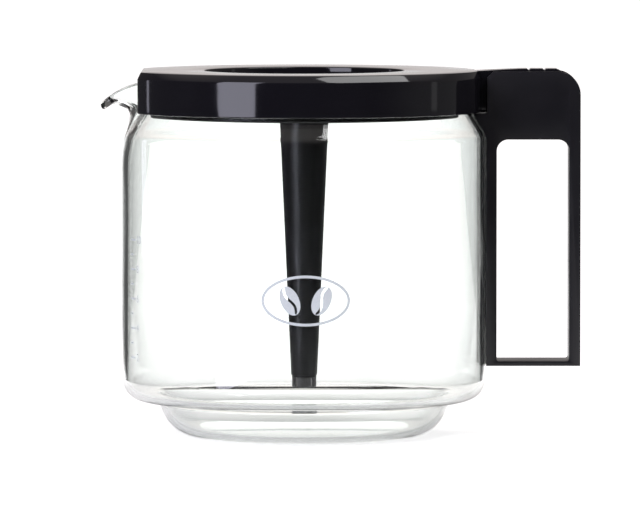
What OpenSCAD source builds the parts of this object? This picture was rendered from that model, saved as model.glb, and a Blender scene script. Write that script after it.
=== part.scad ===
// Glass coffee jug with a D handle and a hinged, lift-off brew-through lid.
// Origin: centre of the flat foot. +Z up, handle towards +X, spout towards -X.

/* [Jug] */
// Outer diameter of the glass body
jug_d = 150; // [125:1:180]
// Height of the glass rim above the table
rim_z = 145; // [120:1:175]
// Thickness of the glass
glass_t = 2.4; // [1.8:0.1:3]
// How far the neck stands in from the body's side
neck_inset = 8.2; // [6.8:0.1:9.6]
// How far the flat foot stands in from the body's side
foot_inset = 31.5; // [28:0.5:34]
// Height of the body's underside above the table
step_z = 14.6; // [12:0.2:17]
// Radius of the body's bottom corner
corner_r = 9.4; // [6:0.2:11]

/* [Spout] */
// How far the pouring throat stands in from the body's side
throat_inset = 2.4; // [2:0.1:4]
// How far the lip reaches out from the throat
lip_reach = 11; // [8:0.5:14]
// Width of the spout where it leaves the neck
spout_w = 25.2; // [20:0.2:25.4]
// Width of the lip at its tip
lip_w = 10.4; // [9:0.2:14]

/* [Lid] */
// Height of the lid's outer skirt
skirt_h = 17; // [14:0.5:18]
// Thickness of the skirt
skirt_t = 1.8; // [1.4:0.1:2]
// Free space between the neck and the skirt
skirt_gap = 4; // [3.6:0.1:4.4]
// Thickness of the cover's top plate
cover_t = 2.6; // [2:0.1:3]
// Thickness of the liner's seat and funnel
liner_t = 2.4; // [1.6:0.1:2.9]
// Diameter of the round opening that coffee drips into
dish_d = 82; // [60:1:95]
// Depth of the funnel's cone
dish_depth = 8.8; // [6:0.2:11]
// How far the lid's flat front stands in from the skirt's circle
flat_inset = 4.7; // [4.1:0.1:5.2]

/* [Mixing tube] */
// Outer diameter of the tube at its top
tube_top_d = 20.6; // [18:0.2:26]
// Outer diameter of the tube at its tip
tube_tip_d = 10; // [9:0.2:13]
// Height of the tube's tip above the table
tube_tip_z = 20; // [14:0.5:40]
// Wall of the tube
tube_t = 1.5; // [1:0.1:1.7]

/* [Handle] */
// Width of the handle across the hand
handle_w = 23; // [21:0.5:30]
// Room for the fingers between the two legs
finger_gap = 29.7; // [24:0.5:38]
// Height of the handle's underside above the table
handle_foot_z = 29.3; // [20:0.5:45]
// Height of the hollow block at the handle's top
block_h = 27.8; // [26:0.2:32]
// Thickness of the leg beside the glass
inner_leg_t = 3.9; // [3:0.1:6]
// Thickness of the outer leg
outer_leg_t = 4.6; // [3.5:0.1:6]
// Thickness of the bar that joins the legs
foot_bar_t = 1.9; // [1.5:0.1:4]
// Thickness of each cheek of the block
cheek_t = 3.5; // [3.2:0.1:4.5]
// Thickness of the silicone bond between handle and glass
bond_t = 0.4; // [0.3:0.05:0.6]

/* [Hinge] */
// Diameter of the hinge pin
pin_d = 3; // [2.5:0.1:3.4]
// Thickness of the thumb lever's plate
lever_t = 3; // [2.4:0.1:3.2]
// Length of the lever behind the hinge pin
lever_len = 27.7; // [22:0.5:28.5]

/* [Fits] */
// Running clearance round the pin, on the radius
pin_fit = 0.05; // [0.02:0.01:0.1]
// Side clearance of the lever between the cheeks
side_fit = 0.3; // [0.2:0.05:0.6]
// Snap clearance between the lid's own pieces
snap_fit = 0.15; // [0.1:0.05:0.3]
// Free height between the rim and the closed lid
seat_fit = 0.1; // [0.05:0.05:0.3]

/* [Hidden] */
$fn = 128;
eps = 0.02;
far = 400;

// Glass
jug_r = jug_d / 2;
neck_r = jug_r - neck_inset;
foot_r = jug_r - foot_inset;
foot_corner_r = 16;
foot_slope = 66;
step_fillet_r = 2.5;
step_slope = 5;
shoulder_r = 9;
shoulder_lean = 31;
shoulder_z = rim_z - 23.8;
neck_fillet_r = 4;
throat_r = jug_r - throat_inset;
tip_x = throat_r + lip_reach;
lip_z = rim_z - 10.7;
steps = 8;

// Lid
seat_z = rim_z + seat_fit;
liner_top = seat_z + liner_t;
lid_top = liner_top + cover_t;
skirt_bottom = lid_top - skirt_h;
skirt_in_r = neck_r + skirt_gap;
lid_r = skirt_in_r + skirt_t;
flat_x = lid_r - flat_inset;
bevel_w = 1.35;
bevel_h = 2.8;
dish_r = dish_d / 2;
plug_r = neck_r - glass_t - 1;
plug_t = 1.8;
plug_bottom = skirt_bottom - 2.6;
funnel_z = liner_top - dish_depth;
tube_top = funnel_z - liner_t + 0.4;
spigot_r = tube_top_d / 2 - tube_t;
spigot_t = 1.5;
spigot_len = 9;
tongue_w = 10;
tongue_len = 7;

// Handle and hinge
block_x = jug_r - 0.1;
gap_x0 = block_x + inner_leg_t;
gap_x1 = gap_x0 + finger_gap;
handle_x1 = gap_x1 + outer_leg_t;
block_top = lid_top - 0.2;
gap_z0 = handle_foot_z + foot_bar_t;
gap_z1 = block_top - block_h;
pin_x = jug_r + 4;
pin_z = rim_z - 3;
cheek_y = handle_w / 2 - cheek_t;
pin_seat = 1.9;
pin_len = 2 * (cheek_y + pin_seat - 0.2);
knuckle_r = pin_d / 2 + 2.1;
well_x0 = pin_x + knuckle_r + 0.4;
well_x1 = handle_x1 - 2.5;
well_floor = gap_z1 + 2.2;
front_wall_z = pin_z - knuckle_r - 0.6;
curtain_x = block_x + 0.8;
beak_x = neck_r + 2.4;
beak_z = skirt_bottom - 0.4;

// Points on an arc round [cx, cz], from angle a0 to a1
function arc(cx, cz, r, a0, a1) =
    [for (i = [0 : steps])
        let (a = a0 + (a1 - a0) * i / steps)
        [cx + r * cos(a), cz + r * sin(a)]];

// Where the bowl's sloping side ends: the foot corner's end moved along the slope
foot_end = [foot_r + foot_corner_r * sin(foot_slope),
            foot_corner_r * (1 - cos(foot_slope))];
corner_start = [jug_r - corner_r + corner_r * sin(step_slope),
                step_z + corner_r * (1 - cos(step_slope))];
fillet_run = step_fillet_r * [sin(foot_slope) - sin(step_slope),
                              cos(step_slope) - cos(foot_slope)];
slope_len = (corner_start[1] - foot_end[1] - fillet_run[1]
             - (corner_start[0] - foot_end[0] - fillet_run[0]) * tan(step_slope))
            / (sin(foot_slope) - cos(foot_slope) * tan(step_slope));
step_centre = foot_end
    + [slope_len * cos(foot_slope) + step_fillet_r * sin(foot_slope),
       slope_len * sin(foot_slope) - step_fillet_r * cos(foot_slope)];

// Height at which the leaning shoulder line meets the neck's outer side
shoulder_out = jug_r - shoulder_r * (1 - cos(shoulder_lean));
neck_meet_z = shoulder_z + shoulder_r * sin(shoulder_lean)
    + (shoulder_out - neck_r) / tan(shoulder_lean);
neck_fillet_z = neck_meet_z + neck_fillet_r * tan(shoulder_lean / 2);

// The gap in the lid's flat front is as wide as the shoulder that it closes over
shoulder_at_skirt = neck_r + (neck_meet_z - skirt_bottom) * tan(shoulder_lean);
pour_gap_w = 2 * sqrt(pow(shoulder_at_skirt + skirt_in_r, 2) / 4
                      - pow(flat_x - skirt_t, 2));

// The jug's side view from the axis to the neck, moved in by inset
function jug_side(inset) = concat(
    [[0, inset]],
    arc(foot_r, foot_corner_r, foot_corner_r - inset, -90, foot_slope - 90),
    arc(step_centre[0], step_centre[1], step_fillet_r + inset,
        foot_slope + 90, step_slope + 90),
    arc(jug_r - corner_r, step_z + corner_r, corner_r - inset, step_slope - 90, 0),
    arc(jug_r - shoulder_r, shoulder_z, shoulder_r - inset, 0, shoulder_lean),
    arc(neck_r + neck_fillet_r, neck_fillet_z, neck_fillet_r + inset,
        180 + shoulder_lean, 180));

module jug_solid(inset, top) {
    rotate_extrude()
        polygon(concat(jug_side(inset), [[neck_r - inset, top], [0, top]]));
}

// A ring of glass with a round top edge
module rim_round() {
    translate([0, 0, rim_z - glass_t / 2])
        rotate_extrude()
            translate([neck_r - glass_t / 2, 0])
                circle(d = glass_t, $fn = 32);
}

// The throat and lip as one solid, moved in by inset
module spout_form(inset, rise) {
    disc_h = 0.4;
    low_r = 24;
    mid_r = 16.6;
    top_r = 15.2;
    low_reach = throat_r + 1.6;
    lip_root_x = neck_r - 0.8;
    hull($fn = 32) {
        translate([low_r - low_reach, 0, shoulder_z])
            cylinder(r = low_r - inset, h = disc_h, $fn = 48);
        translate([mid_r - throat_r, 0, rim_z - 14])
            cylinder(r = mid_r - inset, h = disc_h, $fn = 48);
        translate([top_r - throat_r + 0.3, 0, rim_z - disc_h])
            cylinder(r = top_r - inset, h = disc_h + rise, $fn = 48);
    }
    hull() {
        translate([-lip_root_x, 0, lip_z + inset])
            cylinder(r = spout_w / 2 - inset, h = rim_z - lip_z - inset + rise, $fn = 48);
        translate([lip_w / 2 - tip_x, 0, lip_z + inset])
            cylinder(r = lip_w / 2 - inset, h = rim_z - lip_z - inset + rise, $fn = 48);
    }
}

// Everything above the spout's falling upper edge
module above_spout() {
    rotate([90, 0, 0])
        linear_extrude(far, center = true)
            polygon([[-neck_r + 1, rim_z + eps], [-throat_r + 0.4, rim_z - 1.1],
                     [-tip_x + 5.2, rim_z - 4.2], [-tip_x - 0.5, rim_z - 8.2],
                     [-far, rim_z - 8.2], [-far, far], [-neck_r + 1, far]]);
}

module glass_jug() {
    color([0.86, 0.93, 0.92, 0.4])
        difference() {
            union() {
                jug_solid(0, rim_z - glass_t / 2);
                rim_round();
                difference() {
                    spout_form(0, 0);
                    above_spout();
                }
            }
            jug_solid(glass_t, rim_z + glass_t);
            spout_form(glass_t, glass_t);
        }
}

// The handle's side view: a D with a round top corner
module handle_side() {
    corner = 9.5;
    gap_top_r = 4.7;
    gap_low_r = 1;
    difference() {
        union() {
            translate([beak_x - 4, handle_foot_z])
                square([handle_x1 - corner - beak_x + 4, block_top - handle_foot_z]);
            translate([beak_x, handle_foot_z])
                square([handle_x1 - beak_x, block_top - corner - handle_foot_z]);
            translate([handle_x1 - corner, block_top - corner])
                circle(r = corner);
        }
        // the step over the lid's skirt, and the lead-in of the pin slots
        translate([beak_x - 5, beak_z])
            square([block_x - beak_x + 5, far]);
        translate([block_x, block_top])
            rotate(45)
                square(3.6, center = true);
        rounded_gap(gap_top_r, gap_low_r);
    }
}

// The finger opening, with its own top and bottom corner radii
module rounded_gap(top_r, low_r) {
    w = gap_x1 - gap_x0;
    translate([gap_x0 + top_r, gap_z0 + low_r])
        square([w - 2 * top_r, gap_z1 - gap_z0 - low_r]);
    translate([gap_x0, gap_z0 + low_r])
        square([w, gap_z1 - gap_z0 - low_r - top_r]);
    translate([gap_x0 + low_r, gap_z0])
        square([w - 2 * low_r, low_r + eps]);
    for (x = [gap_x0 + top_r, gap_x1 - top_r])
        translate([x, gap_z1 - top_r])
            circle(r = top_r);
    for (x = [gap_x0 + low_r, gap_x1 - low_r])
        translate([x, gap_z0 + low_r])
            circle(r = low_r);
}

module upright(width) {
    rotate([90, 0, 0])
        linear_extrude(width, center = true)
            children();
}

module handle() {
    slot_w = pin_d + 2 * pin_fit;
    color([0.07, 0.07, 0.08])
        difference() {
            upright(handle_w)
                handle_side();
            jug_solid(-bond_t, far);
            // the well that the thumb lever swings into
            upright(2 * cheek_y)
                translate([well_x0, well_floor])
                    square([well_x1 - well_x0, far]);
            upright(2 * cheek_y) {
                translate([beak_x - 5, front_wall_z])
                    square([well_x0 - beak_x + 6, far]);
                // room for the lever's curtain
                translate([beak_x - 5, beak_z])
                    square([curtain_x + 0.5 - beak_x + 5, far]);
            }
            // blind slots that the pin drops into
            upright(2 * (cheek_y + pin_seat)) {
                translate([pin_x, pin_z])
                    circle(d = slot_w);
                translate([pin_x - slot_w / 2, pin_z])
                    square([slot_w, far]);
            }
        }
}

// A layer of silicone between glass and handle, from z0 to z1
module bond(z0, z1, width) {
    intersection() {
        difference() {
            jug_solid(-bond_t, rim_z);
            jug_solid(0, far);
        }
        translate([0, -width / 2, z0])
            cube([far, width, z1 - z0]);
    }
}

module shoulder_bond() {
    color([0.25, 0.25, 0.26])
        bond(gap_z1 + 1, beak_z - 1, handle_w - 4);
}

module leg_bond() {
    color([0.25, 0.25, 0.26])
        bond(gap_z0 + 14, gap_z1 - 16, handle_w - 8);
}

module hinge_pin() {
    color([0.75, 0.75, 0.76])
        translate([pin_x, 0, pin_z])
            rotate([90, 0, 0])
                cylinder(d = pin_d, h = pin_len, center = true, $fn = 48);
}

// The lever's side view: plate, thumb ridges, web, knuckle and a curtain before the block
module lever_side() {
    rise = 0.8;
    groove = 0.7;
    pitch = 6.4;
    groove_x = pin_x + lever_len - 14.6;
    end_x = pin_x + lever_len;
    plate_low = lid_top - lever_t;
    difference() {
        union() {
            polygon([[lid_r - 3, lid_top - 0.1], [groove_x - 3, lid_top + rise],
                     [end_x - 3.4, lid_top + rise], [end_x - 1.2, lid_top - 0.2],
                     [end_x, lid_top - 2.2], [end_x - 0.6, plate_low], [lid_r - 3, plate_low]]);
            translate([lid_r - 3, pin_z])
                square([pin_x + knuckle_r - lid_r + 3, plate_low - pin_z + eps]);
            translate([pin_x, pin_z])
                circle(r = knuckle_r);
            translate([lid_r - 3, skirt_bottom])
                square([curtain_x - lid_r + 3, pin_z - skirt_bottom]);
        }
        for (x = [groove_x, groove_x + pitch])
            translate([x, lid_top + rise])
                rotate(45)
                    square(groove * sqrt(2), center = true);
        translate([pin_x, pin_z])
            circle(r = pin_d / 2 + pin_fit);
    }
}

module thumb_lever() {
    color([0.08, 0.08, 0.09]) {
        difference() {
            upright(2 * (cheek_y - side_fit))
                lever_side();
            // the cover's skirt and bevel, which the lever's front lies against
            rotate_extrude()
                polygon([[0, 0], [lid_r + eps, 0], [lid_r + eps, lid_top - bevel_h],
                         [lid_r - bevel_w + eps, lid_top], [lid_r - bevel_w + eps, lid_top + 9],
                         [0, lid_top + 9]]);
        }
        // tongue that snaps through the skirt and under the cover
        translate([lid_r - tongue_len, -tongue_w / 2, seat_z + 0.2])
            cube([tongue_len + 0.8, tongue_w, liner_t - 0.2 - snap_fit]);
    }
}

// A disc with a flat front edge, x_flat in front of the axis
module flat_disc(r, x_flat, z0, z1) {
    translate([0, 0, z0])
        difference() {
            cylinder(r = r, h = z1 - z0);
            translate([-far - x_flat, -far / 2, -1])
                cube([far, far, z1 - z0 + 2]);
        }
}

module lid_cover() {
    color([0.09, 0.09, 0.1])
        difference() {
            flat_disc(lid_r, flat_x, skirt_bottom, lid_top);
            flat_disc(skirt_in_r, flat_x - skirt_t, skirt_bottom - 1, liner_top);
            translate([0, 0, liner_top - 1])
                cylinder(r = dish_r, h = cover_t + 2);
            // bevel round the top edge
            translate([0, 0, lid_top - bevel_h])
                rotate_extrude()
                    polygon([[lid_r, 0], [lid_r + 2, 0], [lid_r + 2, bevel_h + 1],
                             [lid_r - bevel_w, bevel_h + 1], [lid_r - bevel_w, bevel_h]]);
            upright(far)
                polygon([[-flat_x, lid_top - bevel_h], [-flat_x - 2, lid_top - bevel_h],
                         [-flat_x - 2, lid_top + 1], [-flat_x + bevel_w, lid_top + 1],
                         [-flat_x + bevel_w, lid_top]]);
            // gap in the flat front that the spout stands in
            translate([-far - neck_r + 4, -pour_gap_w / 2, skirt_bottom - 1])
                cube([far, pour_gap_w, seat_z + 1.2 - skirt_bottom + 1]);
            // slot that the lever's tongue passes through
            translate([lid_r - 5, -tongue_w / 2 - snap_fit, seat_z])
                cube([10, tongue_w + 2 * snap_fit, liner_t - eps]);
        }
}

module lid_liner() {
    color([0.1, 0.1, 0.11])
        difference() {
            intersection() {
                rotate_extrude()
                    polygon([[spigot_r - spigot_t, tube_top - spigot_len],
                             [spigot_r, tube_top - spigot_len], [spigot_r, tube_top],
                             [spigot_r + tube_t + 0.6, tube_top],
                             [dish_r + 2, seat_z], [plug_r - plug_t, seat_z],
                             [plug_r - plug_t, plug_bottom], [plug_r, plug_bottom],
                             [plug_r, seat_z], [skirt_in_r - snap_fit, seat_z],
                             [skirt_in_r - snap_fit, liner_top], [dish_r, liner_top],
                             [spigot_r - spigot_t, funnel_z]]);
                translate([snap_fit + skirt_t - flat_x, -far / 2, 0])
                    cube([far, far, far]);
            }
            // gap in the plug ring in front of the spout
            translate([-far - plug_r + 12, 2 - spout_w / 2, plug_bottom - 1])
                cube([far, spout_w - 4, seat_z - plug_bottom + 0.5]);
            // notch that the lever's tongue lies in
            translate([lid_r - tongue_len - snap_fit, -tongue_w / 2 - snap_fit, seat_z - 1])
                cube([far, tongue_w + 2 * snap_fit, liner_t + 2]);
        }
}

module mixing_tube() {
    tip_r = tube_tip_d / 2;
    top_r = tube_top_d / 2;
    collar_h = 5;
    color([0.1, 0.1, 0.11])
        difference() {
            rotate_extrude()
                polygon([[tip_r - tube_t, tube_tip_z], [tip_r, tube_tip_z],
                         [tip_r, tube_tip_z + collar_h],
                         [tip_r + 0.35, tube_tip_z + collar_h],
                         [top_r, tube_top], [spigot_r, tube_top],
                         [spigot_r, tube_top - spigot_len],
                         [spigot_r - spigot_t, tube_top - spigot_len - 2],
                         [tip_r - tube_t, tube_tip_z + collar_h]]);
            // slots that let the coffee out sideways
            for (a = [45, 135])
                rotate(a)
                    translate([-far / 2, -0.8, tube_tip_z - 1])
                        cube([far, 1.6, collar_h]);
        }
}

glass_jug();
handle();
shoulder_bond();
leg_bond();
hinge_pin();
thumb_lever();
lid_cover();
lid_liner();
mixing_tube();
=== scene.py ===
import math
import bpy
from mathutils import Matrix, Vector


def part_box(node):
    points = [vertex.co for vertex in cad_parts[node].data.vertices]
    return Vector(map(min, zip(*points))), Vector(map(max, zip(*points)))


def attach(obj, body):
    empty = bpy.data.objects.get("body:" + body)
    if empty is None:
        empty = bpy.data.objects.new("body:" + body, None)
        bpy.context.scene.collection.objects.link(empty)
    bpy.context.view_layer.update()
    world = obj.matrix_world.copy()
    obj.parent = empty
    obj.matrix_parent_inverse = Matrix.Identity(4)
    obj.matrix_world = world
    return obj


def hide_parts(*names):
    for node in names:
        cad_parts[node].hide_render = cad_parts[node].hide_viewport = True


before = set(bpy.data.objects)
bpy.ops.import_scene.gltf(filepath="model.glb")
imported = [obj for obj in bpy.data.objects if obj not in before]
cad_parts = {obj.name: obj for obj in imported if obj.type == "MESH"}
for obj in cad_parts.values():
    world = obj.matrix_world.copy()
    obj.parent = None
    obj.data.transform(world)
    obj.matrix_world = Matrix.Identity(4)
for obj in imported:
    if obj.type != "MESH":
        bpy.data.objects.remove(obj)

bpy.context.view_layer.update()


# The jug is blown borosilicate glass, 2.4 mm thick, with a flat foot, a step where the
# body begins, and a spout drawn out of the soft neck. Its rim is melted round in a flame.
MM = 0.001
jug_low, jug_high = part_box("glass_jug")
rim_z = jug_high.z / MM
glass_t = 2.4
print_room = 0.07  # left inside the CAD jug for the printed film
tip_room = 0.05
body_r = jug_high.x / MM - print_room
neck_r = jug_high.x / MM - 8.2
foot_r = body_r - 31.5
tip_r = -jug_low.x / MM - tip_room
foot_corner, foot_slope = 16, 66
step_out, step_z, step_fillet = 18.35, 11.73, 2.5
base_corner, base_z = 9.4, 24
shoulder_corner, shoulder_z, shoulder_lean = 9, rim_z - 23.8, 31
neck_fillet = 4


def arc(cx, cz, radius, start, end, steps=8):
    """Points on an arc in the side view, angles in degrees."""
    turn = [math.radians(start + (end - start) * i / steps) for i in range(steps + 1)]
    return [(cx + radius * math.cos(a), cz + radius * math.sin(a)) for a in turn]


def jug_side(inset):
    """The jug's side view from the axis to the neck, moved in by inset."""
    lean = math.radians(shoulder_lean)
    side = [(0, inset), (16, inset), (32, inset)]
    side += arc(foot_r, foot_corner, foot_corner - inset, -90, foot_slope - 90, 16)
    side += arc(foot_r + step_out, step_z, step_fillet + inset, foot_slope + 90, 95, 6)
    side += arc(body_r - base_corner, base_z, base_corner - inset, -85, 0, 14)
    side += [(body_r - inset, z) for z in (36, 48, 60, 72, 84, 96, 108, 111, 114, 117, 119)]
    side += arc(body_r - shoulder_corner, shoulder_z, shoulder_corner - inset,
                0, shoulder_lean, 8)
    bend_z = shoulder_z + shoulder_corner * math.sin(lean)
    bend_r = body_r - shoulder_corner * (1 - math.cos(lean))
    meet = bend_z + (bend_r - neck_r) / math.tan(lean)
    fillet = meet + neck_fillet * math.tan(lean / 2)
    bend = arc(neck_r + neck_fillet, fillet, neck_fillet + inset, 180 + shoulder_lean, 180, 6)
    low, high = side[-1], bend[0]
    side += [(low[0] + (high[0] - low[0]) * i / 12, low[1] + (high[1] - low[1]) * i / 12)
             for i in range(1, 12)]
    return side + bend


def trace(name, points):
    """Draws an open line of edges through points, vertex by vertex."""
    bpy.ops.object.select_all(action="DESELECT")
    bpy.ops.mesh.primitive_plane_add(size=MM, location=(0, 0, 0))
    line = bpy.context.active_object
    line.name = line.data.name = name
    bpy.ops.object.mode_set(mode="EDIT")
    bpy.ops.mesh.select_all(action="SELECT")
    bpy.ops.mesh.merge(type="CENTER")
    bpy.ops.transform.translate(value=points[0])
    for here, there in zip(points, points[1:]):
        step = Vector(there) - Vector(here)
        bpy.ops.mesh.extrude_region_move(TRANSFORM_OT_translate={"value": step})
    bpy.ops.object.mode_set(mode="OBJECT")
    return line


def spun(name, side, steps):
    """Turns a closed or axis-to-axis side view, in mm, into a solid of revolution."""
    solid = trace(name, [(x * MM, 0, z * MM) for x, z in side])
    bpy.ops.object.mode_set(mode="EDIT")
    bpy.ops.mesh.select_all(action="SELECT")
    bpy.ops.mesh.spin(steps=steps, angle=2 * math.pi, center=(0, 0, 0), axis=(0, 0, 1))
    bpy.ops.mesh.select_all(action="SELECT")
    bpy.ops.mesh.remove_doubles(threshold=0.00002)
    bpy.ops.mesh.normals_make_consistent(inside=False)
    bpy.ops.object.mode_set(mode="OBJECT")
    return solid


def hex_colour(code):
    """An sRGB hex colour as linear RGBA."""
    parts = [int(code[i:i + 2], 16) / 255 for i in (0, 2, 4)]
    return [c / 12.92 if c < 0.04045 else ((c + 0.055) / 1.055) ** 2.4 for c in parts] + [1]


def add(tree, kind, inputs=None, **settings):
    """Adds one node; an input is a value, or a (node, output name) pair to link from."""
    item = tree.nodes.new(kind)
    for key, value in settings.items():
        setattr(item, key, value)
    for key, value in (inputs or {}).items():
        if isinstance(value, tuple) and isinstance(value[0], bpy.types.Node):
            tree.links.new(value[0].outputs[value[1]], item.inputs[key])
        else:
            item.inputs[key].default_value = value
    return item


def finish(piece, material, angle=None):
    """Gives a piece its one material and smooth shading, up to an edge angle."""
    piece.data.materials.clear()
    piece.data.materials.append(material)
    bpy.ops.object.select_all(action="DESELECT")
    piece.select_set(True)
    bpy.context.view_layer.objects.active = piece
    if angle is None:
        bpy.ops.object.shade_smooth()
    else:
        bpy.ops.object.shade_smooth_by_angle(angle=math.radians(angle))


outer = jug_side(0)
inner = jug_side(glass_t)
neck_rows = [outer[-1][1] + (rim_z - 1.2 - outer[-1][1]) * i / 9 for i in range(1, 9)]
rim = arc(neck_r - glass_t / 2, rim_z - glass_t / 2, glass_t / 2, 0, 180, 10)
jug_profile = (outer + [(neck_r, z) for z in neck_rows] + rim
               + [(neck_r - glass_t, z) for z in reversed(neck_rows)] + inner[::-1])
jug = spun("jug_glass", jug_profile, 224)


def smooth(low, high, value):
    """0 at low, 1 at high, eased at both ends."""
    part = min(1, max(0, (value - low) / (high - low)))
    return part * part * (3 - 2 * part)


def along(table, value):
    """Reads a value between the rows of a two-column table."""
    for (a, fa), (b, fb) in zip(table, table[1:]):
        if value <= b:
            return fa + (fb - fa) * max(0, (value - a)) / (b - a)
    return table[-1][1]


def soft_max(a, b, width=1.6):
    """The larger of a and b, eased over width where they meet."""
    h = max(0, width - abs(a - b)) / width
    return max(a, b) + h * h * width / 4


# The spout at its middle, under and over the glass, from the throat to the curled tip:
# distance from the axis and height, at even steps
lip_under = [(71.6, 132.6), (72.3, 133.6), (73.6, 134.3), (75.2, 135.0), (77.3, 135.9),
             (79.4, 136.3), (80.6, 135.5), (81.3, 134.3), (82.1, 133.9), (83.0, 134.6),
             (83.4, 136.0), (82.9, 137.5)]
lip_over = [(69.2, 133.6), (69.8, 135.4), (71.4, 136.7), (73.6, 137.5), (75.8, 138.1),
            (77.8, 138.5), (79.2, 138.6), (80.1, 138.5), (80.8, 138.4), (81.3, 138.2),
            (81.8, 138.1), (82.3, 138.0)]
lip_start = 132.6
# How deep the wall sinks below the spout, where the throat was drawn from: height, depth
sink = [(112, 0), (116.3, 0.2), (119.2, 0.75), (122.2, 1.45), (125.1, 2.0)]
sink_turn, spout_turn = 0.36, 0.4  # how far round they reach, in radians
# The throat in plan is a circle beside the axis: its centre and radius, low and high
throat_low, throat_high = (49.6, 24), (55, 16.6)
# The spout's straight flanks in plan, and the round of its tip
flank_reach, flank_slope, flank_stretch = 49.3, 0.556, 1.144
tip_round = 5.2


def on_path(path, u):
    """A point on a path at even steps, u from 0 to 1."""
    place = u * (len(path) - 1)
    i = min(int(place), len(path) - 2)
    part = place - i
    return [a + (b - a) * part for a, b in zip(path[i], path[i + 1])]


def circle_reach(centre, radius, turn):
    """How far a circle beside the axis reaches in direction turn, or 0."""
    side = centre * math.sin(turn)
    if abs(side) >= radius:
        return 0
    return centre * math.cos(turn) + math.sqrt(radius * radius - side * side)


def spout_place(r, turn, z, wall):
    """Where the glass at (r, turn, z) goes as the spout is drawn; wall is 1 outside."""
    inset = (1 - wall) * glass_t
    rise = smooth(shoulder_z, rim_z - 14, z)
    centre, radius = (a + (b - a) * rise for a, b in zip(throat_low, throat_high))
    throat = circle_reach(centre, radius - inset, turn)
    side = abs(turn)
    r -= along(sink, z) * (1 - smooth(0, sink_turn, side))
    r = soft_max(r, throat) if throat else r
    edge = ((flank_reach - inset * flank_stretch)
            / (math.sin(side) + flank_slope * math.cos(side)))
    tip = circle_reach(tip_r - tip_round, tip_round - inset, turn)
    reach = min(edge, tip) if tip else edge
    if z <= lip_start or reach <= r:
        return r, z
    drawn = min(1, (reach - neck_r + inset) / (tip_r - neck_r))
    u = min(1, (z - lip_start) / (rim_z - lip_start))
    path = [b + (a - b) * wall for a, b in zip(on_path(lip_under, u), on_path(lip_over, u))]
    root = lip_over[0][0] + (lip_under[0][0] - lip_over[0][0]) * wall
    widest = max(lip_over)[0] + (max(lip_under)[0] - max(lip_over)[0]) * wall
    out = r + (reach - r) * (path[0] - root) / (widest - root)
    return out, z + (path[1] - z) * drawn ** 1.8


wall_outer = [(z, x) for x, z in outer if z > 100]
wall_inner = [(z, x) for x, z in inner if z > 100]
crowding = 0.75  # how far the rows of vertices are drawn together at the spout
for vert in jug.data.vertices:
    x, y, z = (c / MM for c in vert.co)
    r = math.hypot(x, y)
    turn = math.atan2(y, -x)
    turn -= crowding * math.sin(turn)
    if z > sink[0][0] and abs(turn) < spout_turn:
        r_out = along(wall_outer, z)
        r_in = along(wall_inner, z)
        wall = min(1, max(0, (r - r_in) / (r_out - r_in)))
        r, z = spout_place(r, turn, z, wall)
    vert.co = Vector((-r * math.cos(turn), r * math.sin(turn), z)) * MM

# Borosilicate glass, mould-blown then fire-polished: clear, faintly green in its thick
# base, with slow waves in the wall that make the lines seen through it swim a little.
glass = bpy.data.materials.new("blown_borosilicate_glass")
glass.use_nodes = True
tree = glass.node_tree
coords = add(tree, "ShaderNodeTexCoord")
waves = add(tree, "ShaderNodeTexNoise", {"Vector": (coords, "Object"), "Scale": 1 / 0.03,
                                         "Detail": 1.0, "Roughness": 0.4})
bump = add(tree, "ShaderNodeBump", {"Height": (waves, "Fac"), "Strength": 0.25,
                                    "Distance": 0.0004})
tint = add(tree, "ShaderNodeMix", {"Factor": (waves, "Fac"), "A": hex_colour("FDFFFE"),
                                   "B": hex_colour("FAFDFB")}, data_type="RGBA")
shader = tree.nodes["Principled BSDF"]
shader.inputs["Transmission Weight"].default_value = 1
shader.inputs["IOR"].default_value = 1.473
shader.inputs["Roughness"].default_value = 0.0
tree.links.new(bump.outputs["Normal"], shader.inputs["Normal"])
tree.links.new(tint.outputs["Result"], shader.inputs["Base Color"])
finish(jug, glass)
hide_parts("glass_jug")
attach(jug, "jug")


# Two prints in white enamel are fired on the outside of the glass: two coffee beans in an
# oval ring on the front, and a cup scale beside the spout. The ink is a thin raised film.
print_t = 0.05
print_r = body_r + 0.008


def patch(name, outline):
    """A flat closed shape in the front view, from points in mm."""
    shape = trace(name, [(x * MM, 0, z * MM) for x, z in outline + outline[:1]])
    bpy.ops.object.mode_set(mode="EDIT")
    bpy.ops.mesh.select_all(action="SELECT")
    bpy.ops.mesh.remove_doubles(threshold=0.000005)
    bpy.ops.mesh.edge_face_add()
    bpy.ops.object.mode_set(mode="OBJECT")
    return shape


def oval(cx, cz, wide, high, turn=0, start=0, end=360, steps=56):
    """Points on an ellipse, turned in its plane; angles in degrees."""
    points = []
    for i in range(steps + (end - start < 360)):
        a = math.radians(start + (end - start) * i / steps)
        x, z = wide / 2 * math.cos(a), high / 2 * math.sin(a)
        t = math.radians(turn)
        points.append((cx + x * math.cos(t) - z * math.sin(t),
                       cz + x * math.sin(t) + z * math.cos(t)))
    return points


def bean_half(cx, cz, wide, high, turn, side):
    """Half a bean beside its S-shaped crease; side is 1 or -1."""
    outline = oval(0, 0, wide, high, 0, -90, 90, 18)
    crease = [(0.55 - 0.9 * math.sin(math.pi * k / 9), high / 2 * (1 - 2 * k / 18) * 0.98)
              for k in range(0, 19)]
    points = [(side * x, side * z) for x, z in outline + crease[1:-1]]
    t = math.radians(turn)
    return [(cx + x * math.cos(t) - z * math.sin(t), cz + x * math.sin(t) + z * math.cos(t))
            for x, z in points]


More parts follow.
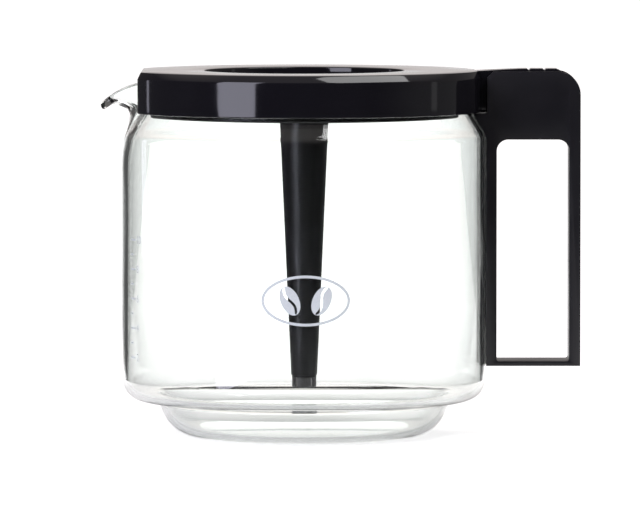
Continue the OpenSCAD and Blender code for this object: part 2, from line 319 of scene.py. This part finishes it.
def printed(name, shapes, centre_turn, strip):
    """Joins flat shapes, wraps them on the glass and gives them the ink's thickness."""
    bpy.ops.object.select_all(action="DESELECT")
    for shape in shapes:
        shape.select_set(True)
    bpy.context.view_layer.objects.active = shapes[0]
    bpy.ops.object.join()
    film = bpy.context.active_object
    film.name = film.data.name = name
    bpy.ops.object.mode_set(mode="EDIT")
    bpy.ops.mesh.select_all(action="SELECT")
    bpy.ops.mesh.normals_make_consistent(inside=False)
    bpy.ops.object.mode_set(mode="OBJECT")
    if film.data.polygons[0].normal.y > 0:
        film.data.flip_normals()
    reach = max(abs(v.co.x) for v in film.data.vertices) / MM
    bpy.ops.object.mode_set(mode="EDIT")
    for i in range(-int(reach / strip), int(reach / strip) + 1):
        bpy.ops.mesh.select_all(action="SELECT")
        bpy.ops.mesh.bisect(plane_co=(i * strip * MM, 0, 0), plane_no=(1, 0, 0))
    bpy.ops.mesh.select_all(action="SELECT")
    bpy.ops.mesh.quads_convert_to_tris()
    bpy.ops.mesh.dissolve_degenerate(threshold=0.00001)
    bpy.ops.object.mode_set(mode="OBJECT")
    for vert in film.data.vertices:
        a = centre_turn + vert.co.x / (print_r * MM)
        vert.co.x, vert.co.y = print_r * MM * math.sin(a), -print_r * MM * math.cos(a)
    thick = film.modifiers.new("ink", "SOLIDIFY")
    thick.thickness = print_t * MM
    thick.offset = 1
    bpy.ops.object.modifier_apply(modifier=thick.name)
    return film


emblem_z, emblem_shift = 60, 0.8
ring = patch("ring", oval(0, emblem_z, 36, 20.5))
bpy.ops.object.mode_set(mode="EDIT")
bpy.ops.mesh.select_all(action="SELECT")
bpy.ops.mesh.inset(thickness=1.1 * MM)
bpy.ops.mesh.delete(type="FACE")
bpy.ops.object.mode_set(mode="OBJECT")
beans = [patch("bean", bean_half(x, emblem_z, 7.4, 12.4, turn, side))
         for x, turn in ((-6.4, 24), (6.4, -24)) for side in (1, -1)]
emblem = printed("front_print", [ring] + beans, emblem_shift / body_r, 1.5)

scale_turn, line_half, number_size = -70, 0.35, 4.5
marks = []
for k, z in enumerate(range(34, 83, 6)):
    wide = 5.2 if k % 2 == 0 else 2.8
    low, high = z - line_half, z + line_half
    marks.append(patch("mark", [(0, low), (wide, low), (wide, high), (0, high)]))
    if k % 2 == 0:
        bpy.ops.object.select_all(action="DESELECT")
        bpy.ops.object.text_add(location=((wide + 0.8) * MM, 0, (z - 1.35) * MM),
                                rotation=(math.pi / 2, 0, 0))
        number = bpy.context.active_object
        number.data.body = str(k + 2)
        number.data.size = number_size * MM
        bpy.ops.object.convert(target="MESH")
        bpy.ops.object.transform_apply(location=True, rotation=True, scale=True)
        marks.append(bpy.context.active_object)
scale = printed("cup_scale", marks, math.radians(scale_turn), 1.5)

# Screen-printed enamel fired into the glass: matt, slightly thin and bluish where the
# squeegee left less ink, in patches about a millimetre across.
enamel = bpy.data.materials.new("fired_white_enamel")
enamel.use_nodes = True
tree = enamel.node_tree
coords = add(tree, "ShaderNodeTexCoord")
cover_patch = add(tree, "ShaderNodeTexNoise", {"Vector": (coords, "Object"),
                                               "Scale": 1 / 0.001, "Detail": 3.0})
shade = add(tree, "ShaderNodeMix", {"Factor": (cover_patch, "Fac"), "A": hex_colour("CBD3D8"),
                                    "B": hex_colour("E8ECEE")}, data_type="RGBA")
shader = tree.nodes["Principled BSDF"]
shader.inputs["Roughness"].default_value = 0.5
tree.links.new(shade.outputs["Result"], shader.inputs["Base Color"])
for film in (emblem, scale):
    finish(film, enamel, 30)
    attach(film, "jug")


# The handle is one black plastic moulding: a hollow block at the top that holds the hinge,
# an inner leg bonded to the glass and an outer leg, joined by a thin bar at the bottom.
def carried_copy(node, name, bevel, segments=2, angle=32):
    """A merged copy of a CAD node's mesh with its sharp edges rounded."""
    bpy.ops.object.select_all(action="DESELECT")
    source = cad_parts[node]
    piece = bpy.data.objects.new(name, source.data.copy())
    bpy.context.scene.collection.objects.link(piece)
    piece.data.name = name
    piece.select_set(True)
    bpy.context.view_layer.objects.active = piece
    bpy.ops.mesh.customdata_custom_splitnormals_clear()
    bpy.ops.object.mode_set(mode="EDIT")
    bpy.ops.mesh.select_all(action="SELECT")
    bpy.ops.mesh.remove_doubles(threshold=0.00002)
    bpy.ops.mesh.dissolve_limited(angle_limit=math.radians(1))
    bpy.ops.object.mode_set(mode="OBJECT")
    edge = piece.modifiers.new("rounded_edges", "BEVEL")
    edge.width = bevel * MM
    edge.segments = segments
    edge.limit_method = "ANGLE"
    edge.angle_limit = math.radians(angle)
    edge.use_clamp_overlap = True
    edge.harden_normals = False
    bpy.ops.object.modifier_apply(modifier=edge.name)
    return piece


handle = carried_copy("handle", "handle_moulding", 0.9, 3)
# Injection-moulded black ABS from a spark-eroded tool: satin, with a grain of about
# 0.1 mm drawn at 0.4 mm so that it shows, and a slow change of gloss over the faces.
handle_abs = bpy.data.materials.new("satin_moulded_abs")
handle_abs.use_nodes = True
tree = handle_abs.node_tree
coords = add(tree, "ShaderNodeTexCoord")
grain = add(tree, "ShaderNodeTexNoise", {"Vector": (coords, "Object"), "Scale": 1 / 0.0004,
                                         "Detail": 2.0, "Roughness": 0.6})
patches = add(tree, "ShaderNodeTexNoise", {"Vector": (coords, "Object"), "Scale": 1 / 0.02,
                                           "Detail": 3.0})
gloss = add(tree, "ShaderNodeMapRange", {"Value": (patches, "Fac"), "From Min": 0.3,
                                         "From Max": 0.7, "To Min": 0.3, "To Max": 0.38})
shade = add(tree, "ShaderNodeMix", {"Factor": (patches, "Fac"), "A": hex_colour("151419"),
                                    "B": hex_colour("1B1A1F")}, data_type="RGBA")
bump = add(tree, "ShaderNodeBump", {"Height": (grain, "Fac"), "Strength": 0.12,
                                    "Distance": 0.00005})
shader = tree.nodes["Principled BSDF"]
shader.inputs["IOR"].default_value = 1.54
tree.links.new(shade.outputs["Result"], shader.inputs["Base Color"])
tree.links.new(gloss.outputs["Result"], shader.inputs["Roughness"])
tree.links.new(bump.outputs["Normal"], shader.inputs["Normal"])
finish(handle, handle_abs, 35)
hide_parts("handle")
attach(handle, "jug")


# Two beads of grey silicone glue hold the handle's leg and shoulder to the glass.
# They stay as they are in the frame and only get their rubber.
silicone = bpy.data.materials.new("cured_silicone")
silicone.use_nodes = True
tree = silicone.node_tree
coords = add(tree, "ShaderNodeTexCoord")
blots = add(tree, "ShaderNodeTexNoise", {"Vector": (coords, "Object"), "Scale": 1 / 0.003,
                                         "Detail": 3.0})
shade = add(tree, "ShaderNodeMix", {"Factor": (blots, "Fac"), "A": hex_colour("3A3A3C"),
                                    "B": hex_colour("5A5A5C")}, data_type="RGBA")
shader = tree.nodes["Principled BSDF"]
shader.inputs["Roughness"].default_value = 0.45
shader.inputs["IOR"].default_value = 1.41
tree.links.new(shade.outputs["Result"], shader.inputs["Base Color"])
for node in ("shoulder_bond", "leg_bond"):
    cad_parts[node].material_slots[0].material = silicone


# The hinge pin is a 3 mm stainless rod, cut to length and dropped into the block's slots.
# Drawing through a die leaves fine rings along it.
steel = bpy.data.materials.new("drawn_stainless_steel")
steel.use_nodes = True
tree = steel.node_tree
coords = add(tree, "ShaderNodeTexCoord")
stretch = add(tree, "ShaderNodeMapping", {"Vector": (coords, "Object"),
                                          "Scale": (4000, 150, 4000)})
lines = add(tree, "ShaderNodeTexNoise", {"Vector": (stretch, "Vector"), "Scale": 1.0,
                                         "Detail": 2.0})
gloss = add(tree, "ShaderNodeMapRange", {"Value": (lines, "Fac"), "To Min": 0.18,
                                         "To Max": 0.36})
shade = add(tree, "ShaderNodeMix", {"Factor": (lines, "Fac"), "A": hex_colour("B9B8B5"),
                                    "B": hex_colour("CFCECB")}, data_type="RGBA")
shader = tree.nodes["Principled BSDF"]
shader.inputs["Metallic"].default_value = 1
tree.links.new(shade.outputs["Result"], shader.inputs["Base Color"])
tree.links.new(gloss.outputs["Result"], shader.inputs["Roughness"])
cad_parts["hinge_pin"].material_slots[0].material = steel


# The lid's cover is a polished black moulding: a flat plate with a round opening, a deep
# skirt outside the glass and a flat front, gapped where the spout passes.
cover_low, cover_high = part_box("lid_cover")
lid_top = cover_high.z / MM
lid_r = cover_high.x / MM
skirt_low = cover_low.z / MM
flat_inset = lid_r + cover_low.x / MM
dish_r = 41
skirt_t, plate_t = 1.8, 2.6
gap_half, gap_back = 23.2, -62.8
cover_side = ([(lid_r - 0.5, skirt_low)] + arc(lid_r - 0.5, skirt_low + 0.5, 0.5, -60, 0, 4)
              + [(lid_r, skirt_low + 5.6), (lid_r, lid_top - 6)]
              + [(lid_r, lid_top - 3.1), (lid_r - 0.03, lid_top - 2.8),
                 (lid_r - 0.16, lid_top - 2.5), (lid_r - 1.2, lid_top - 0.34),
                 (lid_r - 1.36, lid_top - 0.12), (lid_r - 1.65, lid_top)]
              + [(62, lid_top), (52, lid_top)]
              + arc(dish_r + 0.6, lid_top - 0.6, 0.6, 90, 180, 4)
              + [(dish_r, lid_top - plate_t), (dish_r + 10, lid_top - plate_t),
                 (lid_r - skirt_t, lid_top - plate_t), (lid_r - skirt_t, skirt_low + 6),
                 (lid_r - skirt_t, skirt_low + 0.3), (lid_r - 1.5, skirt_low),
                 (lid_r - 0.5, skirt_low)])
cover = spun("lid_cover_moulding", cover_side, 256)


def flatten_front(piece, smallest_r):
    """Pushes the front of a turned piece back to the lid's flat, ring by ring."""
    for vert in piece.data.vertices:
        r = math.hypot(vert.co.x, vert.co.y)
        if r > smallest_r * MM:
            vert.co.x = max(vert.co.x, flat_inset * MM - r)


def cut_box(piece, low, high, turn=0):
    """Cuts a box given by two corners, in mm, out of a piece, turned about the axis."""
    bpy.ops.object.select_all(action="DESELECT")
    middle = [(a + b) / 2 * MM for a, b in zip(low, high)]
    bpy.ops.mesh.primitive_cube_add(size=1, location=middle)
    cutter = bpy.context.active_object
    cutter.scale = [(b - a) * MM for a, b in zip(low, high)]
    cutter.rotation_euler.z = math.radians(turn)
    bpy.ops.object.transform_apply(location=True, rotation=True, scale=True)
    cut = piece.modifiers.new("gap", "BOOLEAN")
    cut.operation = "DIFFERENCE"
    cut.solver = "EXACT"
    cut.object = cutter
    bpy.context.view_layer.objects.active = piece
    bpy.ops.object.modifier_apply(modifier=cut.name)
    bpy.data.objects.remove(cutter)


flatten_front(cover, 60)
cut_box(cover, (-lid_r, -gap_half, skirt_low - 1), (gap_back, gap_half, lid_top - 3.8))
# Glossy black plastic moulding from a mirror-smooth tool: a clear, dark reflection,
# broken only by slow sink marks and a trace of handling haze.
cover_gloss = bpy.data.materials.new("polished_black_moulding")
cover_gloss.use_nodes = True
tree = cover_gloss.node_tree
coords = add(tree, "ShaderNodeTexCoord")
haze = add(tree, "ShaderNodeTexNoise", {"Vector": (coords, "Object"), "Scale": 1 / 0.012,
                                        "Detail": 4.0})
sinks = add(tree, "ShaderNodeTexNoise", {"Vector": (coords, "Object"), "Scale": 1 / 0.04})
gloss = add(tree, "ShaderNodeMapRange", {"Value": (haze, "Fac"), "From Min": 0.3,
                                         "From Max": 0.7, "To Min": 0.05, "To Max": 0.09})
shade = add(tree, "ShaderNodeMix", {"Factor": (haze, "Fac"), "A": hex_colour("141318"),
                                    "B": hex_colour("19181D")}, data_type="RGBA")
bump = add(tree, "ShaderNodeBump", {"Height": (sinks, "Fac"), "Strength": 0.15,
                                    "Distance": 0.0003})
shader = tree.nodes["Principled BSDF"]
shader.inputs["IOR"].default_value = 1.5
tree.links.new(shade.outputs["Result"], shader.inputs["Base Color"])
tree.links.new(gloss.outputs["Result"], shader.inputs["Roughness"])
tree.links.new(bump.outputs["Normal"], shader.inputs["Normal"])
finish(cover, cover_gloss, 28)
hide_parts("lid_cover")
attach(cover, "lid")


# The thumb lever is a separate moulding that snaps into the cover: a plate with two
# thumb grooves, and a knuckle below it that turns on the pin.
lever = carried_copy("thumb_lever", "thumb_lever_moulding", 0.3, 2)
lever_gloss = cover_gloss.copy()
lever_gloss.name = "glossy_lever_moulding"
finish(lever, lever_gloss, 35)
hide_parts("thumb_lever")
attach(lever, "lid")


# The liner is a black polypropylene disc under the cover: a funnel that the coffee drips
# into, a ring that plugs the neck, and a spigot that the mixing tube is pushed on.
liner_low, liner_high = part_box("lid_liner")
liner_top = liner_high.z / MM
seat_z = liner_top - 2.4
plug_r, plug_t = 63.4, 1.8
plug_low = skirt_low - 2.6
spigot_r, spigot_t = 8.8, 1.5
spigot_low = liner_low.z / MM
tube_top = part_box("mixing_tube")[1].z / MM
funnel_z = liner_top - 8.8
liner_side = [(spigot_r - spigot_t, spigot_low), (spigot_r - 0.3, spigot_low),
              (spigot_r, spigot_low + 0.4), (spigot_r, tube_top),
              (spigot_r + 2.1, tube_top), (dish_r + 2, seat_z),
              (plug_r - plug_t, seat_z), (plug_r - plug_t, plug_low + 0.4),
              (plug_r - plug_t + 0.3, plug_low), (plug_r - 0.6, plug_low),
              (plug_r - 0.1, plug_low + 0.5), (plug_r, plug_low + 1.2), (plug_r, seat_z),
              (liner_high.y / MM, seat_z), (liner_high.y / MM, liner_top),
              (dish_r + 6, liner_top), (dish_r + 0.8, liner_top),
              (dish_r - 0.2, liner_top - 0.35),
              (spigot_r - spigot_t + 1.4, funnel_z + 0.45),
              (spigot_r - spigot_t + 0.4, funnel_z),
              (spigot_r - spigot_t, funnel_z - 0.6), (spigot_r - spigot_t, spigot_low)]
liner = spun("lid_liner_moulding", liner_side, 192)
flatten_front(liner, 64)
cut_box(liner, (-plug_r - 1, -10.6, plug_low - 1), (-51.4, 10.6, seat_z - 0.5))
# Polypropylene straight from the tool: satin, slightly translucent at its edges, with
# flow lines a few millimetres apart.
liner_pp = bpy.data.materials.new("satin_polypropylene")
liner_pp.use_nodes = True
tree = liner_pp.node_tree
coords = add(tree, "ShaderNodeTexCoord")
flow = add(tree, "ShaderNodeTexNoise", {"Vector": (coords, "Object"), "Scale": 1 / 0.006,
                                        "Detail": 2.0, "Distortion": 0.6})
grain = add(tree, "ShaderNodeTexNoise", {"Vector": (coords, "Object"), "Scale": 1 / 0.0005})
gloss = add(tree, "ShaderNodeMapRange", {"Value": (flow, "Fac"), "From Min": 0.3,
                                         "From Max": 0.7, "To Min": 0.36, "To Max": 0.46})
shade = add(tree, "ShaderNodeMix", {"Factor": (flow, "Fac"), "A": hex_colour("111014"),
                                    "B": hex_colour("18171B")}, data_type="RGBA")
bump = add(tree, "ShaderNodeBump", {"Height": (grain, "Fac"), "Strength": 0.1,
                                    "Distance": 0.00005})
shader = tree.nodes["Principled BSDF"]
shader.inputs["IOR"].default_value = 1.49
tree.links.new(shade.outputs["Result"], shader.inputs["Base Color"])
tree.links.new(gloss.outputs["Result"], shader.inputs["Roughness"])
tree.links.new(bump.outputs["Normal"], shader.inputs["Normal"])
finish(liner, liner_pp, 30)
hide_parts("lid_liner")
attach(liner, "lid")


# The mixing tube leads the coffee to the jug's floor, so that the whole jug is mixed.
# It is a long taper with a short collar at its tip, slotted to let the coffee out sideways.
tube_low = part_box("mixing_tube")[0].z / MM
tip_out, tip_wall, collar_h = 5.0, 1.5, 5
top_out = 10.3
slot_half, slot_turn = 0.8, 45
tube_side = [(tip_out - tip_wall, tube_low), (tip_out - 0.3, tube_low),
             (tip_out, tube_low + 0.3), (tip_out, tube_low + collar_h),
             (tip_out + 0.3, tube_low + collar_h + 0.05),
             (tip_out + 0.36, tube_low + collar_h + 0.35)]
tube_side += [(tip_out + 0.35 + (top_out - tip_out - 0.35) * i / 6,
               tube_low + collar_h + (tube_top - tube_low - collar_h) * i / 6)
              for i in range(1, 6)]
tube_side += [(top_out, tube_top - 0.4), (top_out - 0.3, tube_top), (spigot_r, tube_top),
              (spigot_r, spigot_low), (spigot_r - spigot_t, spigot_low - 2),
              (tip_out - tip_wall, tube_low + collar_h), (tip_out - tip_wall, tube_low)]
tube = spun("mixing_tube_moulding", tube_side, 96)
for wide, deep in ((20, slot_half), (slot_half, 20)):
    cut_box(tube, (-wide, -deep, tube_low - 1), (wide, deep, tube_low + collar_h - 1),
            slot_turn)
finish(tube, liner_pp.copy(), 30)
tube.data.materials[0].name = "satin_polypropylene_tube"
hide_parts("mixing_tube")
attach(tube, "lid")


# The room: a white table with a painted glow and painted shade, a bright wall behind and a
# darker room to the sides and towards the camera. Two soft boxes light the front and two
# strips the sides.
bpy.ops.object.select_all(action="DESELECT")
bpy.ops.mesh.primitive_plane_add(size=1, location=(0, 5.4, 0))
floor = bpy.context.active_object
floor.name = "table"
floor.scale = (0.34, 11.5, 1)
bpy.ops.object.transform_apply(location=True, rotation=True, scale=True)
for vert in floor.data.vertices:
    if vert.co.y > 5:
        vert.co.x *= 3.6
# White table with a painted glow, no lamp under it: full to the camera, dimmer close to the
# jug for rays coming from the jug, a painted shade so that the foot's edges draw as soft grey
# lines.
floor_white = bpy.data.materials.new("white_table_with_painted_glow")
floor_white.use_nodes = True
tree = floor_white.node_tree
place = add(tree, "ShaderNodeTexCoord")
axes = add(tree, "ShaderNodeSeparateXYZ", {"Vector": (place, "Object")})
painted_glow = add(tree, "ShaderNodeMapRange", {"Value": (axes, "Y"), "From Min": 0.1,
                                        "From Max": 0.8, "To Min": 0.42, "To Max": 1.0})
path = add(tree, "ShaderNodeLightPath")
painted_glow_strength = add(tree, "ShaderNodeMix", {"Factor": (path, "Is Camera Ray"), "A": (painted_glow, "Result"),
                                    "B": 0.72}, data_type="FLOAT")
shader = tree.nodes["Principled BSDF"]
# Painted shade: for rays coming from the jug, the table's colour goes black in front of it, a
# painted dark room in what the glass reflects.
painted_front_shade = add(tree, "ShaderNodeMapRange", {"Value": (axes, "Y"), "From Min": -0.12,
                                        "From Max": 0.0, "To Min": 0.25, "To Max": 1.0})
whole = add(tree, "ShaderNodeMath", {0: (painted_front_shade, "Result"), 1: (path, "Is Camera Ray")},
            operation="MAXIMUM")
shade = add(tree, "ShaderNodeMix", {"Factor": (whole, "Value"), "A": hex_colour("000000"),
                                    "B": hex_colour("F4F4F4")}, data_type="RGBA")
tree.links.new(shade.outputs["Result"], shader.inputs["Base Color"])
shader.inputs["Roughness"].default_value = 0.6
shader.inputs["Emission Color"].default_value = hex_colour("FFFFFF")
tree.links.new(painted_glow_strength.outputs["Result"], shader.inputs["Emission Strength"])
floor.data.materials.append(floor_white)

world = bpy.data.worlds.new("studio")
bpy.context.scene.world = world
world.use_nodes = True
tree = world.node_tree
way = add(tree, "ShaderNodeTexCoord")
axes = add(tree, "ShaderNodeSeparateXYZ", {"Vector": (way, "Generated")})
behind = add(tree, "ShaderNodeMapRange", {"Value": (axes, "Y"), "From Min": 0.945,
                                          "From Max": 0.992, "To Min": 0.0, "To Max": 1.0},
             interpolation_type="SMOOTHSTEP")
sweep = add(tree, "ShaderNodeMapRange", {"Value": (axes, "Z"), "From Min": -0.03,
                                         "From Max": 0.02, "To Min": 1.2, "To Max": 0.72})
overhead = add(tree, "ShaderNodeMapRange", {"Value": (axes, "Z"), "From Min": 0.35,
                                            "From Max": 0.8, "To Min": 0.0, "To Max": 0.9},
               interpolation_type="SMOOTHSTEP")
side = add(tree, "ShaderNodeMapRange", {"Value": (axes, "X"), "From Min": -1.0,
                                        "From Max": 1.0, "To Min": 0.06, "To Max": 0.16})
front = add(tree, "ShaderNodeMapRange", {"Value": (axes, "Y"), "From Min": -0.75,
                                         "From Max": -0.1, "To Min": 0.15, "To Max": 1.0},
            interpolation_type="SMOOTHSTEP")
back_half = add(tree, "ShaderNodeMapRange", {"Value": (axes, "Y"), "From Min": -0.35,
                                             "From Max": 0.35, "To Min": 0.42, "To Max": 1.0})
ceiling = add(tree, "ShaderNodeMath", {0: (overhead, "Result"), 1: (back_half, "Result")},
              operation="MULTIPLY")
sides = add(tree, "ShaderNodeMath", {0: (side, "Result"), 1: (front, "Result")},
            operation="MULTIPLY")
path = add(tree, "ShaderNodeLightPath")
wall = add(tree, "ShaderNodeMix", {"Factor": (path, "Is Transmission Ray"),
                                   "A": (sweep, "Result"), "B": 1.2}, data_type="FLOAT")
turned = add(tree, "ShaderNodeMapRange", {"Value": (axes, "Y"), "From Min": 0.74,
                                          "From Max": 0.83, "To Min": 1.0, "To Max": 0.0},
             interpolation_type="SMOOTHSTEP")
clear = add(tree, "ShaderNodeMath", {0: (behind, "Result"), 1: (turned, "Result")},
            operation="MAXIMUM")
bounces = add(tree, "ShaderNodeMath", {0: (path, "Glossy Depth"), 1: (path, "Diffuse Depth")},
              operation="ADD")
unturned = add(tree, "ShaderNodeMath", {0: (bounces, "Value"), 1: 0.5},
               operation="LESS_THAN")
straight = add(tree, "ShaderNodeMath", {0: (path, "Is Transmission Ray"),
                                        1: (unturned, "Value")}, operation="MULTIPLY")
share = add(tree, "ShaderNodeMix", {"Factor": (straight, "Value"), "A": (behind, "Result"),
                                    "B": (clear, "Value")}, data_type="FLOAT")
room = add(tree, "ShaderNodeMix", {"Factor": (share, "Result"), "A": (sides, "Value"),
                                   "B": (wall, "Result")}, data_type="FLOAT")
lit = add(tree, "ShaderNodeMath", {0: (room, "Result"), 1: (ceiling, "Value")},
          operation="MAXIMUM")
seen = add(tree, "ShaderNodeMix", {"Factor": (path, "Is Camera Ray"), "A": (lit, "Value"),
                                   "B": 1.1}, data_type="FLOAT")
tree.links.new(seen.outputs["Result"], tree.nodes["Background"].inputs["Strength"])
warmth = add(tree, "ShaderNodeMapRange", {"Value": (axes, "Z"), "From Min": 0.0,
                                          "From Max": 0.04})
tone = add(tree, "ShaderNodeMix", {"Factor": (warmth, "Result"), "A": hex_colour("FFFFFF"),
                                   "B": hex_colour("FFF7F5")}, data_type="RGBA")
tree.links.new(tone.outputs["Result"], tree.nodes["Background"].inputs["Color"])


lamp_distance = 1.6


def soft_box(name, azimuth, elevation, width, height, radiance, colour):
    """A soft box aimed at the jug; azimuth is from the camera, to the right."""
    a, e = math.radians(azimuth), math.radians(elevation)
    place = lamp_distance * Vector((math.sin(a) * math.cos(e), -math.cos(a) * math.cos(e),
                                    math.sin(e)))
    lamp = bpy.data.lights.new(name, "AREA")
    lamp.shape = "RECTANGLE"
    lamp.size, lamp.size_y = width, height
    lamp.energy = radiance * width * height * math.pi
    lamp.color = hex_colour(colour)[:3]
    holder = bpy.data.objects.new(name, lamp)
    bpy.context.scene.collection.objects.link(holder)
    holder.location = place + Vector((0, 0, 0.1))
    holder.rotation_euler = place.to_track_quat("Z", "Y").to_euler()
    holder.visible_camera = False


soft_box("soft_box_left", -43.8, 14, 0.75, 1.6, 5, "EDECFF")
soft_box("soft_box_top", 52, 50, 1.35, 0.7, 5.2, "FFFFFF")
soft_box("strip_left", -120.5, 3, 0.07, 0.4, 1.9, "EDECFF")
soft_box("strip_right", 92, 3, 0.14, 0.4, 0.3, "FFFFFF")

# A long lens, a little above the jug and 3.3 m away
aim = Vector((0.0065, 0, 0.0752))
tilt, eye_distance = math.radians(3.3), 3.3
camera = bpy.data.cameras.new("camera")
camera.lens = 452
camera.sensor_width = 36
camera.clip_end = 100
eye = bpy.data.objects.new("camera", camera)
bpy.context.scene.collection.objects.link(eye)
eye.location = aim + eye_distance * Vector((0, -math.cos(tilt), math.sin(tilt)))
eye.rotation_euler = (math.pi / 2 - tilt, 0, 0)
bpy.context.scene.camera = eye
bpy.context.scene.view_settings.view_transform = "Standard"

bpy.context.view_layer.update()
